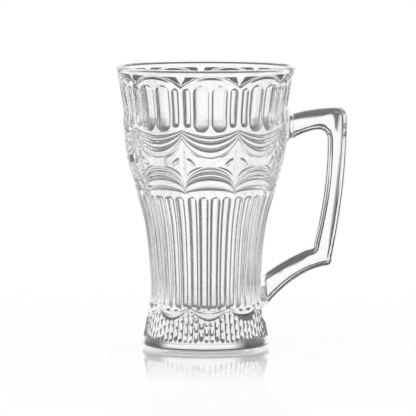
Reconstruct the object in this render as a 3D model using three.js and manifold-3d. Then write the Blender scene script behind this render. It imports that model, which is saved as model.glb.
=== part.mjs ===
// A clear pressed-glass tea mug: a waisted body moulded with arches, swags and flutes, and a
// flat-sided handle that is fused to the wall through a bead of glass at each end.
// Millimetres, +Z up. The origin is the middle of the flat underside, on the axis of the body.
// The handle lies in the XZ plane, towards +X.

import * as THREE from 'three';
import { mergeVertices } from 'three/addons/utils/BufferGeometryUtils.js';
import Module from 'manifold-3d';

const wasm = await Module();
wasm.setup();

// Heights of the moulded bands, stacked from the table to the lip
const FOOT_RIM_HEIGHT = 4.4;
const FOOT_RIB_HEIGHT = 8.8;
const FOOT_SWAG_DROP = 6.3;
const WAIST_FLUTE_LENGTH = 49.9;
const ARCH_HOOPS = [3.5, 4.7, 2.2, 2.2]; // widths of its hoops in the middle of a panel, upwards
const GIRDLE_HEIGHT = 4.2;
const SWAG_HOOPS = [3.1, 2.3, 3.2, 3.7]; // downwards from the belly
const UPPER_FLUTE_LENGTH = 18.4;
const CROWN_RISE = 5.4;
const LIP_HEIGHT = 2.7;

// Outer radii of the body, from the table to the lip, before any moulding is cut into it
const HEEL_ROUNDING = 2.6;
const FOOT_RADIUS = 28.5;
const RIB_FOOT_RADIUS = 27.85;
const ANKLE_RADIUS = 26.15;
const FLUTE_FOOT_RADIUS = 24.95;
const WAIST_RADIUS = 24.65;
const FLARE_RADIUS = 27.1;
const SHOULDER_RADIUS = 30.95;
const GIRDLE_RADIUS = 35;
const BELLY_RADIUS = 36.6;
const COLLAR_RADIUS = 36.95;
const CUSP_RADIUS = 38.8;
const LIP_RADIUS = 39.9;

// Where the narrowest waist, the flare and the collar stand beside the bands
const WAIST_ABOVE_FOOT_SWAG = 10.5;
const FLARE_BELOW_SHOULDER = 14.4;
const COLLAR_ABOVE_BELLY = 7;

// Glass thickness
const BASE_THICKNESS = 15;
const FLOOR_TAPER = 0.75; // how much narrower the floor is than the inside of the waist
const FLOOR_FILLET = 5;
const WAIST_WALL = 4.1;
const GIRDLE_WALL = 3.7;
const BELLY_WALL = 3.4;
const CUSP_WALL = 2.9;
const LIP_WALL = 2.7;

// The moulded pattern, in equal panels round the body
const PANELS = 9;
const FLUTES_PER_PANEL = 4;
const FOOT_RIBS_PER_PANEL = 6;
const COLUMNS_PER_PANEL = 12;
const PANEL_TURN = -6.7; // degrees, from the handle to the middle of the nearest panel
const WAIST_FLUTE_DEPTH = 0.9;
const UPPER_FLUTE_DEPTH = 1;
const FLUTE_END = 2.4; // a flute runs out to the surface over this length
const HOOP_DEPTH = 0.8; // of the valleys between the hoops
const ARCH_GATHER = 2.1; // height of an arch where it meets the next one
const SWAG_GATHER = 3.4;
const STAR_DEPTH = 0.6; // of the ground round a star
const STAR_REACH = 5; // from the stem to the tip of a petal
const STAR_STEM = 1; // half the width of the stem
const STAR_EDGE = 0.1; // share of the ground that its raised border takes, above and below
const FOOT_RIB_DEPTH = 0.7;
const FOOT_RIB_END = 1;
const FOOT_SWAG_DEPTH = 0.5;
const FOOT_SWAG_GATHER = 0.7;
const PANEL_BEVEL = 2.2; // the slope below each crown
const PANEL_RECESS = 0.5;
const SPANDREL_EDGE = 0.4; // the steep edge over a crown
const SPANDREL_DEPTH = 1.7;
const SPANDREL_RIDGE = 1; // height of the upright ridge between two crowns
const LIP_BAND = 0.6; // from the tops of the crowns to the lip

// The handle, seen from the side
const HANDLE_THICKNESS = 11;
const HANDLE_EDGE = 2.4; // rounding of the long edges, as seen from the side
const HANDLE_EDGE_THICKNESS = 2.2; // and as seen from above
const UPPER_FINGER_GAP = 17.5; // belly to grip
const LOWER_FINGER_GAP = 23.5; // waist to grip
const GRIP_WIDTH = 8.9;
const GRIP_BOW = 1.7; // how far the middle of the grip bows outwards
const UPPER_ARM_WIDTH = 10.1;
const UPPER_ARM_DROP = 3.6; // from the corner of the grip down to the wall
const UPPER_ARM_CROWN = 1.5; // how far the top of the arm arches above a straight line
const UPPER_ROOT_SPREAD = 1.2; // how much deeper the arm is where it meets the wall
const UPPER_CORNER_BELOW_LIP = 18.4;
const OUTER_UPPER_ROUNDING = 5;
const INNER_UPPER_ROUNDING = 4;
const LOWER_CORNER_HEIGHT = 35.8;
const LOWER_ARM_WIDTH = 7.4;
const OUTER_LOWER_ROUNDING = 3.6;
const INNER_LOWER_ROUNDING = 2.6;
const LOWER_ROOT_TOP = 31.2;
const LOWER_ROOT_BOTTOM = 12.5;
const LOWER_ARM_BOW = 2.4; // how far the top of the lower arm arches above a straight line
const LOWER_ARM_SWEEP = 8.2; // and how far its underside does

// The beads that fuse the handle to the wall
const FUSED_GAP = 0.3;
const BEAD_THICKNESS = 2;
const BEAD_FLARE = 1; // how far a bead spreads past the handle on each side
const BEAD_ROUNDING = 3; // corners of a bead

// Smoothness of round forms
const CURVE_STEPS = 6;
const EDGE_STEPS = 2;
const SHELL_COLUMNS = 72;
const SHELL_STEPS = 3;
const ARM_SAMPLES = 60;
const MERGE_DISTANCE = 1e-4;

function sum(widths) {
  return widths.reduce((total, width) => total + width, 0);
}

const ARCH_RISE = sum(ARCH_HOOPS);
const SWAG_DROP = sum(SWAG_HOOPS);

const BANDS = {};
BANDS.ribFoot = FOOT_RIM_HEIGHT;
BANDS.ribTop = BANDS.ribFoot + FOOT_RIB_HEIGHT;
BANDS.footSwag = BANDS.ribTop + FOOT_SWAG_DROP;
BANDS.waist = BANDS.footSwag + WAIST_ABOVE_FOOT_SWAG;
BANDS.shoulder = BANDS.footSwag + WAIST_FLUTE_LENGTH;
BANDS.flare = BANDS.shoulder - FLARE_BELOW_SHOULDER;
BANDS.archTop = BANDS.shoulder + ARCH_RISE;
BANDS.girdle = BANDS.archTop + GIRDLE_HEIGHT / 2;
BANDS.swagBottom = BANDS.archTop + GIRDLE_HEIGHT;
BANDS.belly = BANDS.swagBottom + SWAG_DROP;
BANDS.collar = BANDS.belly + COLLAR_ABOVE_BELLY;
BANDS.cusp = BANDS.belly + UPPER_FLUTE_LENGTH;
BANDS.crown = BANDS.cusp + CROWN_RISE;
BANDS.lip = BANDS.crown + LIP_HEIGHT;

const LIP_ROUNDING = LIP_WALL / 2;

const WALL_STATIONS = [
  [HEEL_ROUNDING, FOOT_RADIUS],
  [BANDS.ribFoot, RIB_FOOT_RADIUS],
  [BANDS.ribTop, ANKLE_RADIUS],
  [BANDS.footSwag, FLUTE_FOOT_RADIUS],
  [BANDS.waist, WAIST_RADIUS],
  [BANDS.flare, FLARE_RADIUS],
  [BANDS.shoulder, SHOULDER_RADIUS],
  [BANDS.girdle, GIRDLE_RADIUS],
  [BANDS.belly, BELLY_RADIUS],
  [BANDS.collar, COLLAR_RADIUS],
  [BANDS.cusp, CUSP_RADIUS],
  [BANDS.lip - LIP_ROUNDING, LIP_RADIUS],
];

// Slope of the wall at a station: a straight line from its neighbour below to the one above
function stationSlope(index) {
  const [lowHeight, lowRadius] = WALL_STATIONS[Math.max(index - 1, 0)];
  const [highHeight, highRadius] = WALL_STATIONS[Math.min(index + 1, WALL_STATIONS.length - 1)];
  return (highRadius - lowRadius) / (highHeight - lowHeight);
}

// Outer radius of the unmoulded body at a height: one smooth curve through the stations
function wallRadius(height) {
  const last = WALL_STATIONS.length - 1;
  if (height <= WALL_STATIONS[0][0]) return FOOT_RADIUS;
  if (height >= WALL_STATIONS[last][0]) return LIP_RADIUS;
  const above = WALL_STATIONS.findIndex(([stationHeight]) => stationHeight > height);
  const [lowHeight, lowRadius] = WALL_STATIONS[above - 1];
  const [highHeight, highRadius] = WALL_STATIONS[above];
  const span = highHeight - lowHeight;
  const t = (height - lowHeight) / span;
  const rise = t * t * (3 - 2 * t);
  const startPull = t * (1 - t) * (1 - t) * span * stationSlope(above - 1);
  const endPull = t * t * (t - 1) * span * stationSlope(above);
  return lowRadius + (highRadius - lowRadius) * rise + startPull + endPull;
}

// A closed mesh as a solid, with shared corners merged and flattened triangles dropped
function solidOf(geometry) {
  geometry.deleteAttribute('normal');
  geometry.deleteAttribute('uv');
  const merged = mergeVertices(geometry, MERGE_DISTANCE);
  const corners = merged.index.array;
  const triangles = [];
  for (let i = 0; i < corners.length; i += 3) {
    const [a, b, c] = corners.slice(i, i + 3);
    if (a !== b && b !== c && c !== a) triangles.push(a, b, c);
  }
  const vertProperties = new Float32Array(merged.attributes.position.array);
  const triVerts = new Uint32Array(triangles);
  return new wasm.Manifold(new wasm.Mesh({ numProp: 3, vertProperties, triVerts }));
}

function meshOf(solid, name, material) {
  const { vertProperties, triVerts } = solid.getMesh();
  const geometry = new THREE.BufferGeometry();
  geometry.setAttribute('position', new THREE.BufferAttribute(vertProperties, 3));
  geometry.setIndex(new THREE.BufferAttribute(triVerts, 1));
  geometry.computeVertexNormals();
  const mesh = new THREE.Mesh(geometry, material);
  mesh.name = name;
  return mesh;
}

// The body, as rings of points from the middle of the underside, up the outside and down the inside

// Depth of a round hollow at a place from 0 to 1 across it
function hollow(place) {
  return 1 - (2 * place - 1) ** 2;
}

// One upright line of points on the body, with its place in its panel, flute and foot rib
function columnAt(index) {
  const panels = index / COLUMNS_PER_PANEL;
  const across = 2 * (panels % 1) - 1;
  return {
    angle: THREE.MathUtils.degToRad(PANEL_TURN) + ((panels - 0.5) * 2 * Math.PI) / PANELS,
    dome: Math.sqrt(1 - across * across),
    drape: (1 - across * across) ** 0.85,
    crown: 1 - across * across,
    side: across * across,
    fromStem: ((1 - Math.abs(across)) * Math.PI) / PANELS,
    flute: hollow((panels * FLUTES_PER_PANEL) % 1),
    rib: hollow((panels * FOOT_RIBS_PER_PANEL) % 1),
  };
}

function ringPoint(radius, height) {
  return new THREE.Vector2(radius, height);
}

function onWall(height, depth = 0) {
  return ringPoint(wallRadius(height) - depth, height);
}

function footRings() {
  const lowerEdge = (column) =>
    BANDS.footSwag - FOOT_SWAG_GATHER - (FOOT_SWAG_DROP - FOOT_SWAG_GATHER) * column.crown;
  const middle = (column) => (lowerEdge(column) + BANDS.footSwag) / 2;
  const heelCorner = HEEL_ROUNDING * (1 - Math.SQRT1_2);
  const ribFoot = BANDS.ribFoot;
  return [
    () => ringPoint(FOOT_RADIUS - HEEL_ROUNDING, 0),
    () => ringPoint(FOOT_RADIUS - heelCorner, heelCorner),
    () => onWall(HEEL_ROUNDING),
    () => onWall(ribFoot),
    (column) => onWall(ribFoot + FOOT_RIB_END, FOOT_RIB_DEPTH * column.rib),
    (column) => onWall(lowerEdge(column) - FOOT_RIB_END, FOOT_RIB_DEPTH * column.rib),
    (column) => onWall(lowerEdge(column)),
    (column) => onWall(middle(column), FOOT_SWAG_DEPTH * column.dome),
    () => onWall(BANDS.footSwag),
  ];
}

function waistRings() {
  const cut = (height) => (column) => onWall(height, WAIST_FLUTE_DEPTH * column.flute);
  const middle = (BANDS.waist + BANDS.flare) / 2;
  return [
    cut(BANDS.footSwag + FLUTE_END),
    cut(BANDS.waist),
    cut(middle),
    cut(BANDS.flare),
    cut(BANDS.shoulder - FLUTE_END),
    () => onWall(BANDS.shoulder),
  ];
}

// Height of an arch, and drop of a swag, at a column
function archSpread(column) {
  return ARCH_GATHER + (ARCH_RISE - ARCH_GATHER) * column.dome;
}

function swagSpread(column) {
  return SWAG_GATHER + (SWAG_DROP - SWAG_GATHER) * column.drape;
}

// Nested hoops from a level edge, each with its back raised and a valley past it
function hoopRings(widths, height, depth) {
  return widths.flatMap((width, index) => {
    const edge = sum(widths.slice(0, index + 1));
    const back = (column) => onWall(height(column, (edge - width / 2) / sum(widths)));
    const valley = (column) => onWall(height(column, edge / sum(widths)), depth(column));
    return [back, valley];
  });
}

function archRings() {
  const height = (column, share) => BANDS.shoulder + share * archSpread(column);
  return hoopRings(ARCH_HOOPS, height, (column) => (HOOP_DEPTH * archSpread(column)) / ARCH_RISE);
}

function swagRings() {
  const height = (column, share) => BANDS.belly - share * swagSpread(column);
  return hoopRings(SWAG_HOOPS, height, (column) => (HOOP_DEPTH * swagSpread(column)) / SWAG_DROP).reverse();
}

// Between the arches and the swags: a plain girdle, and stars on a sunk ground where two panels meet
function girdleRings() {
  const ground = (share, reach) => (column) => {
    const low = BANDS.shoulder + archSpread(column);
    const height = THREE.MathUtils.lerp(low, BANDS.belly - swagSpread(column), share);
    const raised = column.fromStem * GIRDLE_RADIUS < reach;
    return onWall(height, raised ? 0 : STAR_DEPTH * Math.min(4 * column.side, 1));
  };
  return [
    ground(STAR_EDGE, Infinity),
    ground(STAR_EDGE + (1 - 2 * STAR_EDGE) / 4, STAR_STEM),
    ground(1 / 2, STAR_REACH),
    ground(STAR_EDGE + (3 * (1 - 2 * STAR_EDGE)) / 4, STAR_STEM),
    ground(1 - STAR_EDGE, Infinity),
  ];
}

function collarRings() {
  const crownLine = (column) => BANDS.cusp + CROWN_RISE * column.crown;
  const bevelFoot = (column) => crownLine(column) - PANEL_BEVEL;
  const lipFoot = BANDS.crown + LIP_BAND;
  const spandrel = (column) => SPANDREL_DEPTH * column.side - SPANDREL_RIDGE * column.side ** 8;
  const recess = (column) => PANEL_RECESS * column.crown;
  const cut = (column) => recess(column) + UPPER_FLUTE_DEPTH * column.flute;
  return [
    () => onWall(BANDS.belly),
    (column) => onWall(BANDS.belly + FLUTE_END, cut(column)),
    (column) => onWall((BANDS.belly + FLUTE_END + bevelFoot(column) - FLUTE_END) / 2, cut(column)),
    (column) => onWall(bevelFoot(column) - FLUTE_END, cut(column)),
    (column) => onWall(bevelFoot(column), recess(column)),
    (column) => onWall(crownLine(column)),
    (column) => onWall(crownLine(column) + SPANDREL_EDGE, spandrel(column)),
    () => onWall(lipFoot),
  ];
}

function lipRings() {
  const turnedIn = LIP_ROUNDING * Math.SQRT1_2;
  const middle = LIP_RADIUS - LIP_ROUNDING;
  const height = BANDS.lip - LIP_ROUNDING;
  return [
    () => ringPoint(LIP_RADIUS, height),
    () => ringPoint(middle + turnedIn, height + turnedIn),
    () => ringPoint(middle, BANDS.lip),
    () => ringPoint(middle - turnedIn, height + turnedIn),
    () => ringPoint(LIP_RADIUS - LIP_WALL, height),
  ];
}

function insideRings() {
  const inWall = (height, wall) => () => ringPoint(wallRadius(height) - wall, height);
  const filletMiddle = FLOOR_FILLET * (1 - Math.SQRT1_2);
  const floorRadius = WAIST_RADIUS - WAIST_WALL - FLOOR_TAPER;
  return [
    inWall(BANDS.cusp, CUSP_WALL),
    inWall(BANDS.belly, BELLY_WALL),
    inWall(BANDS.girdle, GIRDLE_WALL),
    inWall(BANDS.shoulder, WAIST_WALL),
    inWall(BANDS.flare, WAIST_WALL),
    inWall(BANDS.waist, WAIST_WALL),
    () => ringPoint(floorRadius, BASE_THICKNESS + FLOOR_FILLET),
    () => ringPoint(floorRadius - filletMiddle, BASE_THICKNESS + filletMiddle),
    () => ringPoint(floorRadius - FLOOR_FILLET, BASE_THICKNESS),
  ];
}

function mugBody() {
  const rings = [
    () => ringPoint(0, 0),
    ...footRings(),
    ...waistRings(),
    ...archRings(),
    ...girdleRings(),
    ...swagRings(),
    ...collarRings(),
    ...lipRings(),
    ...insideRings(),
    () => ringPoint(0, BASE_THICKNESS),
  ];
  const columns = PANELS * COLUMNS_PER_PANEL;
  const plainColumn = columnAt(COLUMNS_PER_PANEL / 2);
  const profile = rings.map((ring) => ring(plainColumn));
  const geometry = new THREE.LatheGeometry(profile, columns);
  const positions = geometry.attributes.position;
  for (let index = 0; index <= columns; index += 1) {
    const column = columnAt(index % columns);
    rings.forEach((ring, place) => {
      const point = ring(column);
      const x = point.x * Math.cos(column.angle);
      const y = point.x * Math.sin(column.angle);
      positions.setXYZ(index * rings.length + place, x, y, point.y);
    });
  }
  return solidOf(geometry);
}

// The unmoulded outside of the body, grown by an offset and run past the lip and the table
function wallSolid(offset) {
  const profile = [ringPoint(0, -offset - HEEL_ROUNDING)];
  profile.push(ringPoint(FOOT_RADIUS + offset, -offset - HEEL_ROUNDING));
  for (const [low, high] of WALL_STATIONS.slice(1).map((station, i) => [WALL_STATIONS[i], station])) {
    for (let step = 0; step < SHELL_STEPS; step += 1) {
      const height = THREE.MathUtils.lerp(low[0], high[0], step / SHELL_STEPS);
      profile.push(ringPoint(wallRadius(height) + offset, height));
    }
  }
  profile.push(ringPoint(LIP_RADIUS + offset, BANDS.lip + offset));
  profile.push(ringPoint(0, BANDS.lip + offset));
  const geometry = new THREE.LatheGeometry(profile, SHELL_COLUMNS);
  geometry.rotateX(Math.PI / 2);
  return solidOf(geometry);
}

// The handle: its side outline, from the upper arm round the grip to the lower arm

const GRIP = {
  upperInner: BELLY_RADIUS + UPPER_FINGER_GAP,
  lowerInner: WAIST_RADIUS + LOWER_FINGER_GAP,
  top: BANDS.lip - UPPER_CORNER_BELOW_LIP,
};
GRIP.upperOuter = GRIP.upperInner + GRIP_WIDTH;
GRIP.under = GRIP.top - UPPER_ARM_WIDTH;
GRIP.armTop = LOWER_CORNER_HEIGHT + LOWER_ARM_WIDTH;
GRIP.lean = (GRIP.upperInner - GRIP.lowerInner) / (GRIP.under - GRIP.armTop);
GRIP.lowerOuter = GRIP.lowerInner + GRIP_WIDTH - GRIP.lean * LOWER_ARM_WIDTH;

const UPPER_ROOT_TOP = GRIP.top - UPPER_ARM_DROP;
const UPPER_ROOT_BOTTOM = GRIP.under - UPPER_ARM_DROP - UPPER_ROOT_SPREAD;
const UPPER_MIDDLE = (BELLY_RADIUS + GRIP.upperInner) / 2;
const LOWER_MIDDLE = (WAIST_RADIUS + GRIP.lowerInner) / 2;

function bend(start, middle, end) {
  const points = [start, middle, end].map(([x, height]) => new THREE.Vector2(x, height));
  return new THREE.QuadraticBezierCurve(...points);
}

// The long edges of the two arms, in the order that the outline follows them
const UPPER_TOP = bend(
  [BELLY_RADIUS, UPPER_ROOT_TOP],
  [UPPER_MIDDLE, (UPPER_ROOT_TOP + GRIP.top) / 2 + UPPER_ARM_CROWN],
  [GRIP.upperOuter - OUTER_UPPER_ROUNDING, GRIP.top],
);
const LOWER_UNDER = bend(
  [GRIP.lowerOuter - OUTER_LOWER_ROUNDING, LOWER_CORNER_HEIGHT],
  [LOWER_MIDDLE, (LOWER_ROOT_BOTTOM + LOWER_CORNER_HEIGHT) / 2 + LOWER_ARM_SWEEP],
  [WAIST_RADIUS - WAIST_WALL / 2, LOWER_ROOT_BOTTOM],
);
const LOWER_TOP = bend(
  [WAIST_RADIUS, LOWER_ROOT_TOP],
  [LOWER_MIDDLE, (LOWER_ROOT_TOP + GRIP.armTop) / 2 + LOWER_ARM_BOW],
  [GRIP.lowerInner - INNER_LOWER_ROUNDING, GRIP.armTop],
);
const UPPER_UNDER = bend(
  [GRIP.upperInner - INNER_UPPER_ROUNDING, GRIP.under],
  [UPPER_MIDDLE, GRIP.under],
  [BELLY_RADIUS, UPPER_ROOT_BOTTOM],
);

// The height of an arm's edge at a distance from the axis
function edgeHeight(edge, x) {
  const points = edge.getPoints(ARM_SAMPLES);
  const distances = points.map((point) => Math.abs(point.x - x));
  return points[distances.indexOf(Math.min(...distances))].y;
}

function handleOutline() {
  const upperRoot = BELLY_RADIUS - BELLY_WALL - HANDLE_EDGE;
  const lowerRoot = WAIST_RADIUS - WAIST_WALL - HANDLE_EDGE;
  const middle = (GRIP.top + LOWER_CORNER_HEIGHT) / 2;
  const outerMiddle = (GRIP.upperOuter + GRIP.lowerOuter) / 2 + 2 * GRIP_BOW;
  const innerMiddle = (GRIP.upperInner + GRIP.lowerInner) / 2 + 2 * GRIP_BOW;
  const outline = new THREE.Shape();
  const follow = (edge) => outline.quadraticCurveTo(...edge.v1.toArray(), ...edge.v2.toArray());
  outline.moveTo(upperRoot, UPPER_ROOT_TOP);
  outline.lineTo(BELLY_RADIUS, UPPER_ROOT_TOP);
  follow(UPPER_TOP);
  outline.quadraticCurveTo(GRIP.upperOuter, GRIP.top, GRIP.upperOuter, GRIP.top - OUTER_UPPER_ROUNDING);
  outline.quadraticCurveTo(
    outerMiddle, middle, GRIP.lowerOuter, LOWER_CORNER_HEIGHT + OUTER_LOWER_ROUNDING,
  );
  outline.quadraticCurveTo(GRIP.lowerOuter, LOWER_CORNER_HEIGHT, ...LOWER_UNDER.v0.toArray());
  follow(LOWER_UNDER);
  outline.lineTo(lowerRoot, LOWER_ROOT_BOTTOM);
  outline.lineTo(lowerRoot, LOWER_ROOT_TOP);
  outline.lineTo(WAIST_RADIUS, LOWER_ROOT_TOP);
  follow(LOWER_TOP);
  outline.quadraticCurveTo(
    GRIP.lowerInner, GRIP.armTop, GRIP.lowerInner, GRIP.armTop + INNER_LOWER_ROUNDING,
  );
  outline.quadraticCurveTo(innerMiddle, middle, GRIP.upperInner, GRIP.under - INNER_UPPER_ROUNDING);
  outline.quadraticCurveTo(GRIP.upperInner, GRIP.under, ...UPPER_UNDER.v0.toArray());
  follow(UPPER_UNDER);
  outline.lineTo(upperRoot, UPPER_ROOT_BOTTOM);
  return outline;
}

function handleBar() {
  const geometry = new THREE.ExtrudeGeometry(handleOutline(), {
    depth: HANDLE_THICKNESS - 2 * HANDLE_EDGE_THICKNESS,
    bevelEnabled: true,
    bevelThickness: HANDLE_EDGE_THICKNESS,
    bevelSize: HANDLE_EDGE,
    bevelOffset: -HANDLE_EDGE,
    bevelSegments: EDGE_STEPS,
    curveSegments: CURVE_STEPS,
  });
  geometry.rotateX(Math.PI / 2);
  geometry.translate(0, HANDLE_THICKNESS / 2 - HANDLE_EDGE_THICKNESS, 0);
  return solidOf(geometry);
}

// A bead: a rounded pad round the root of an arm, between the wall and the end of the handle
function bead(under, top, wall) {
  const reach = wall + 2 * FUSED_GAP + BEAD_THICKNESS;
  const side = HANDLE_THICKNESS / 2 + BEAD_FLARE;
  const low = edgeHeight(under, reach) - BEAD_FLARE;
  const high = edgeHeight(top, reach) + BEAD_FLARE;
  const pad = new THREE.Shape();
  pad.moveTo(side, low + BEAD_ROUNDING);
  pad.lineTo(side, high - BEAD_ROUNDING);
  pad.quadraticCurveTo(side, high, side - BEAD_ROUNDING, high);
  pad.lineTo(BEAD_ROUNDING - side, high);
  pad.quadraticCurveTo(-side, high, -side, high - BEAD_ROUNDING);
  pad.lineTo(-side, low + BEAD_ROUNDING);
  pad.quadraticCurveTo(-side, low, BEAD_ROUNDING - side, low);
  pad.lineTo(side - BEAD_ROUNDING, low);
  pad.quadraticCurveTo(side, low, side, low + BEAD_ROUNDING);
  const depth = LIP_RADIUS + FUSED_GAP + BEAD_THICKNESS;
  const plain = { depth, bevelEnabled: false, curveSegments: CURVE_STEPS };
  const geometry = new THREE.ExtrudeGeometry(pad, plain);
  const across = new THREE.Vector3(0, 1, 0);
  const upwards = new THREE.Vector3(0, 0, 1);
  const outwards = new THREE.Vector3(1, 0, 0);
  geometry.applyMatrix4(new THREE.Matrix4().makeBasis(across, upwards, outwards));
  const outside = wallSolid(FUSED_GAP + BEAD_THICKNESS);
  return solidOf(geometry).intersect(outside).subtract(wallSolid(FUSED_GAP));
}

const clearGlass = new THREE.MeshStandardMaterial({
  color: 0xe8eeee,
  roughness: 0.04,
  metalness: 0,
  transparent: true,
  opacity: 0.35,
});

const mug = new THREE.Group();
mug.add(meshOf(mugBody(), 'mug_body', clearGlass));
const fusedFace = wallSolid(2 * FUSED_GAP + BEAD_THICKNESS);
mug.add(meshOf(handleBar().subtract(fusedFace), 'handle', clearGlass));
mug.add(meshOf(bead(UPPER_UNDER, UPPER_TOP, BELLY_RADIUS), 'upper_handle_bead', clearGlass));
mug.add(meshOf(bead(LOWER_UNDER, LOWER_TOP, WAIST_RADIUS), 'lower_handle_bead', clearGlass));

export default mug;
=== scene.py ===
# %% [markdown]
# # A pressed-glass tea mug
# The mug is clear glass all through: a waisted body with arches, swags and flutes moulded into its wall, and
# a flat-sided handle that was fused on while the glass was soft. Nothing about it has a colour of its own.
# What the eye sees is how each moulded slope bends the light of the room, so the work here is in the shapes.
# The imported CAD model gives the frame: every piece below is made in metres, in the same place.

import math

import bmesh
import bpy
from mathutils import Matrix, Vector


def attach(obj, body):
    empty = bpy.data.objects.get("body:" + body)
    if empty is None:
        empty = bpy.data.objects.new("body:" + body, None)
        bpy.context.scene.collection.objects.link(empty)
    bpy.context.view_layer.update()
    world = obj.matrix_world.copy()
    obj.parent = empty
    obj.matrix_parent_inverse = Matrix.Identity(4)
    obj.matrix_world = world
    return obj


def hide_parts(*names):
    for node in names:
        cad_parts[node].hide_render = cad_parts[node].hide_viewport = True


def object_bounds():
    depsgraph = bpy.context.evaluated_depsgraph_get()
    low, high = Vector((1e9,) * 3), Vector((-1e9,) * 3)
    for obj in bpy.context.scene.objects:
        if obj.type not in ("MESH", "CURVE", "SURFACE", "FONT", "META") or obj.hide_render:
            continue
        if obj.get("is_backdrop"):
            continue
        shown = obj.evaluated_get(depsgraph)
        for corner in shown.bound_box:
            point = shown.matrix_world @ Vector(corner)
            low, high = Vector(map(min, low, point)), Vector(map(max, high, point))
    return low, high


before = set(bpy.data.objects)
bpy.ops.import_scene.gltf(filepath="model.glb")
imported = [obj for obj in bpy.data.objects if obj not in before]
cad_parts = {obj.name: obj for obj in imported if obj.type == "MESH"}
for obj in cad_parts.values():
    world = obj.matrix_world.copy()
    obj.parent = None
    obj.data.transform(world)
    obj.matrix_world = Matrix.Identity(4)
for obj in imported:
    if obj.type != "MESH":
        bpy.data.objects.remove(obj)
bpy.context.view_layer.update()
MM = 0.001

# %% [markdown]
# The photograph was taken from far off with a long lens: the ellipse of the lip is hardly flatter than that of
# the foot, which puts the camera about two metres away and a little above the lip. A camera that close to level
# sees the table edge-on, so the height of the camera matters more than any other number here.

# %% Camera
CAMERA_DISTANCE = 2.11
CAMERA_HEIGHT = 0.24
AIM = Vector((1.0, 0, 61.5)) * MM
SEEN_WIDTH = 0.1854  # metres across the picture, at the mug
SENSOR = 36

scene = bpy.context.scene
camera = bpy.data.objects.new("camera", bpy.data.cameras.new("camera"))
scene.collection.objects.link(camera)
camera.location = (AIM.x, -CAMERA_DISTANCE, CAMERA_HEIGHT)
sight = AIM - camera.location
camera.rotation_euler = sight.to_track_quat("-Z", "Y").to_euler()
camera.data.sensor_width = SENSOR
camera.data.lens = SENSOR * sight.length / SEEN_WIDTH
scene.camera = camera
scene.view_settings.view_transform = "Standard"
print("Lens", round(camera.data.lens), "mm")

# %% [markdown]
# Light and materials are both built from nodes. They are easier to follow when all of them are added in one way,
# so one small function adds a node with its settings and its links. Another one turns the sRGB hex colours that
# people write into the linear numbers that Blender works with.

# %% Nodes and colours
MIX_FACTOR, MIX_A, MIX_B, MIX_RESULT = 0, 6, 7, 2  # the colour sockets of a Mix node


def add_node(tree, kind, inputs=None, **settings):
    """Adds one node: settings are its own choices, inputs are values, or sockets to link from."""
    node = tree.nodes.new(kind)
    for name, value in settings.items():
        setattr(node, name, value)
    for name, value in (inputs or {}).items():
        if isinstance(value, bpy.types.NodeSocket):
            tree.links.new(value, node.inputs[name])
        else:
            node.inputs[name].default_value = value
    return node


def linear(hex_colour):
    """An sRGB hex colour as the linear numbers that Blender's sockets take."""
    shares = [int(hex_colour[i:i + 2], 16) / 255 for i in (0, 2, 4)]
    return [s / 12.92 if s <= 0.04045 else ((s + 0.055) / 1.055) ** 2.4 for s in shares] + [1.0]


WHITE = linear("FFFFFF")
print("White in linear numbers:", WHITE[:3])

# %% [markdown]
# Clear glass on white is lit as photographers light it: a bright field behind and around it, and dark gaps out
# of the picture that the edges of the glass pick up as thin lines. Lamps and boards could do that, but a world
# of nodes is lighter and stands alike on all sides. It is a ring of eight white screens with soft dark gaps
# between them, which fade out downwards, under a white ceiling with a dark gap round it. The ring is turned by
# two degrees, so that the two sides of a flute don't look quite alike. A grey card low behind the mug darkens
# the slopes that bend light downwards. To place them, each direction is first measured: how far up it points,
# and how far round it lies from the middle of a screen and from the middle of the back.

# %% Directions in the studio
SCREENS = 8
SCREEN_TURN = math.radians(2)

world = bpy.data.worlds.new("studio")
scene.world = world
world.use_nodes = True
tree = world.node_tree
tree.nodes.clear()
direction = add_node(tree, "ShaderNodeTexCoord").outputs["Generated"]
parts = add_node(tree, "ShaderNodeSeparateXYZ", {"Vector": direction}).outputs
up = parts["Z"]
around = add_node(tree, "ShaderNodeMath", {0: parts["Y"], 1: parts["X"]}, operation="ARCTAN2").outputs[0]
half_screen = math.pi / SCREENS
turned_by = add_node(tree, "ShaderNodeMath", {0: around, 1: SCREEN_TURN}, operation="ADD").outputs[0]
from_screen = add_node(tree, "ShaderNodeMath", {0: turned_by, 1: half_screen}, operation="PINGPONG").outputs[0]
behind = add_node(tree, "ShaderNodeMath", {0: around, 1: math.pi / 2}, operation="SUBTRACT").outputs[0]
from_behind = add_node(tree, "ShaderNodeMath", {0: behind}, operation="ABSOLUTE").outputs[0]
print("Studio of", SCREENS, "screens,", round(math.degrees(2 * half_screen)), "degrees apart")

# %% [markdown]
# A dark area with soft edges is a product of soft steps, one for each edge. The steps stand in one table, which
# says what is measured, where the step starts and ends, and whether it falls (1) or rises (0).

# %% Areas of the studio
GAP_HALF_WIDTH, GAP_SOFTNESS = math.radians(5.5), math.radians(7.5)
GAP_FOOT = (-0.45, -0.2)  # these heights are sines of the angle above level
CEILING_GAP, CEILING_SOFTNESS = (0.1, 0.5), 0.04
CARD_FOOT, CARD_TOP = (-0.75, -0.65), (-0.26, -0.17)
CARD_HALF_WIDTH, CARD_SOFTNESS = math.radians(22), math.radians(10)

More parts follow.
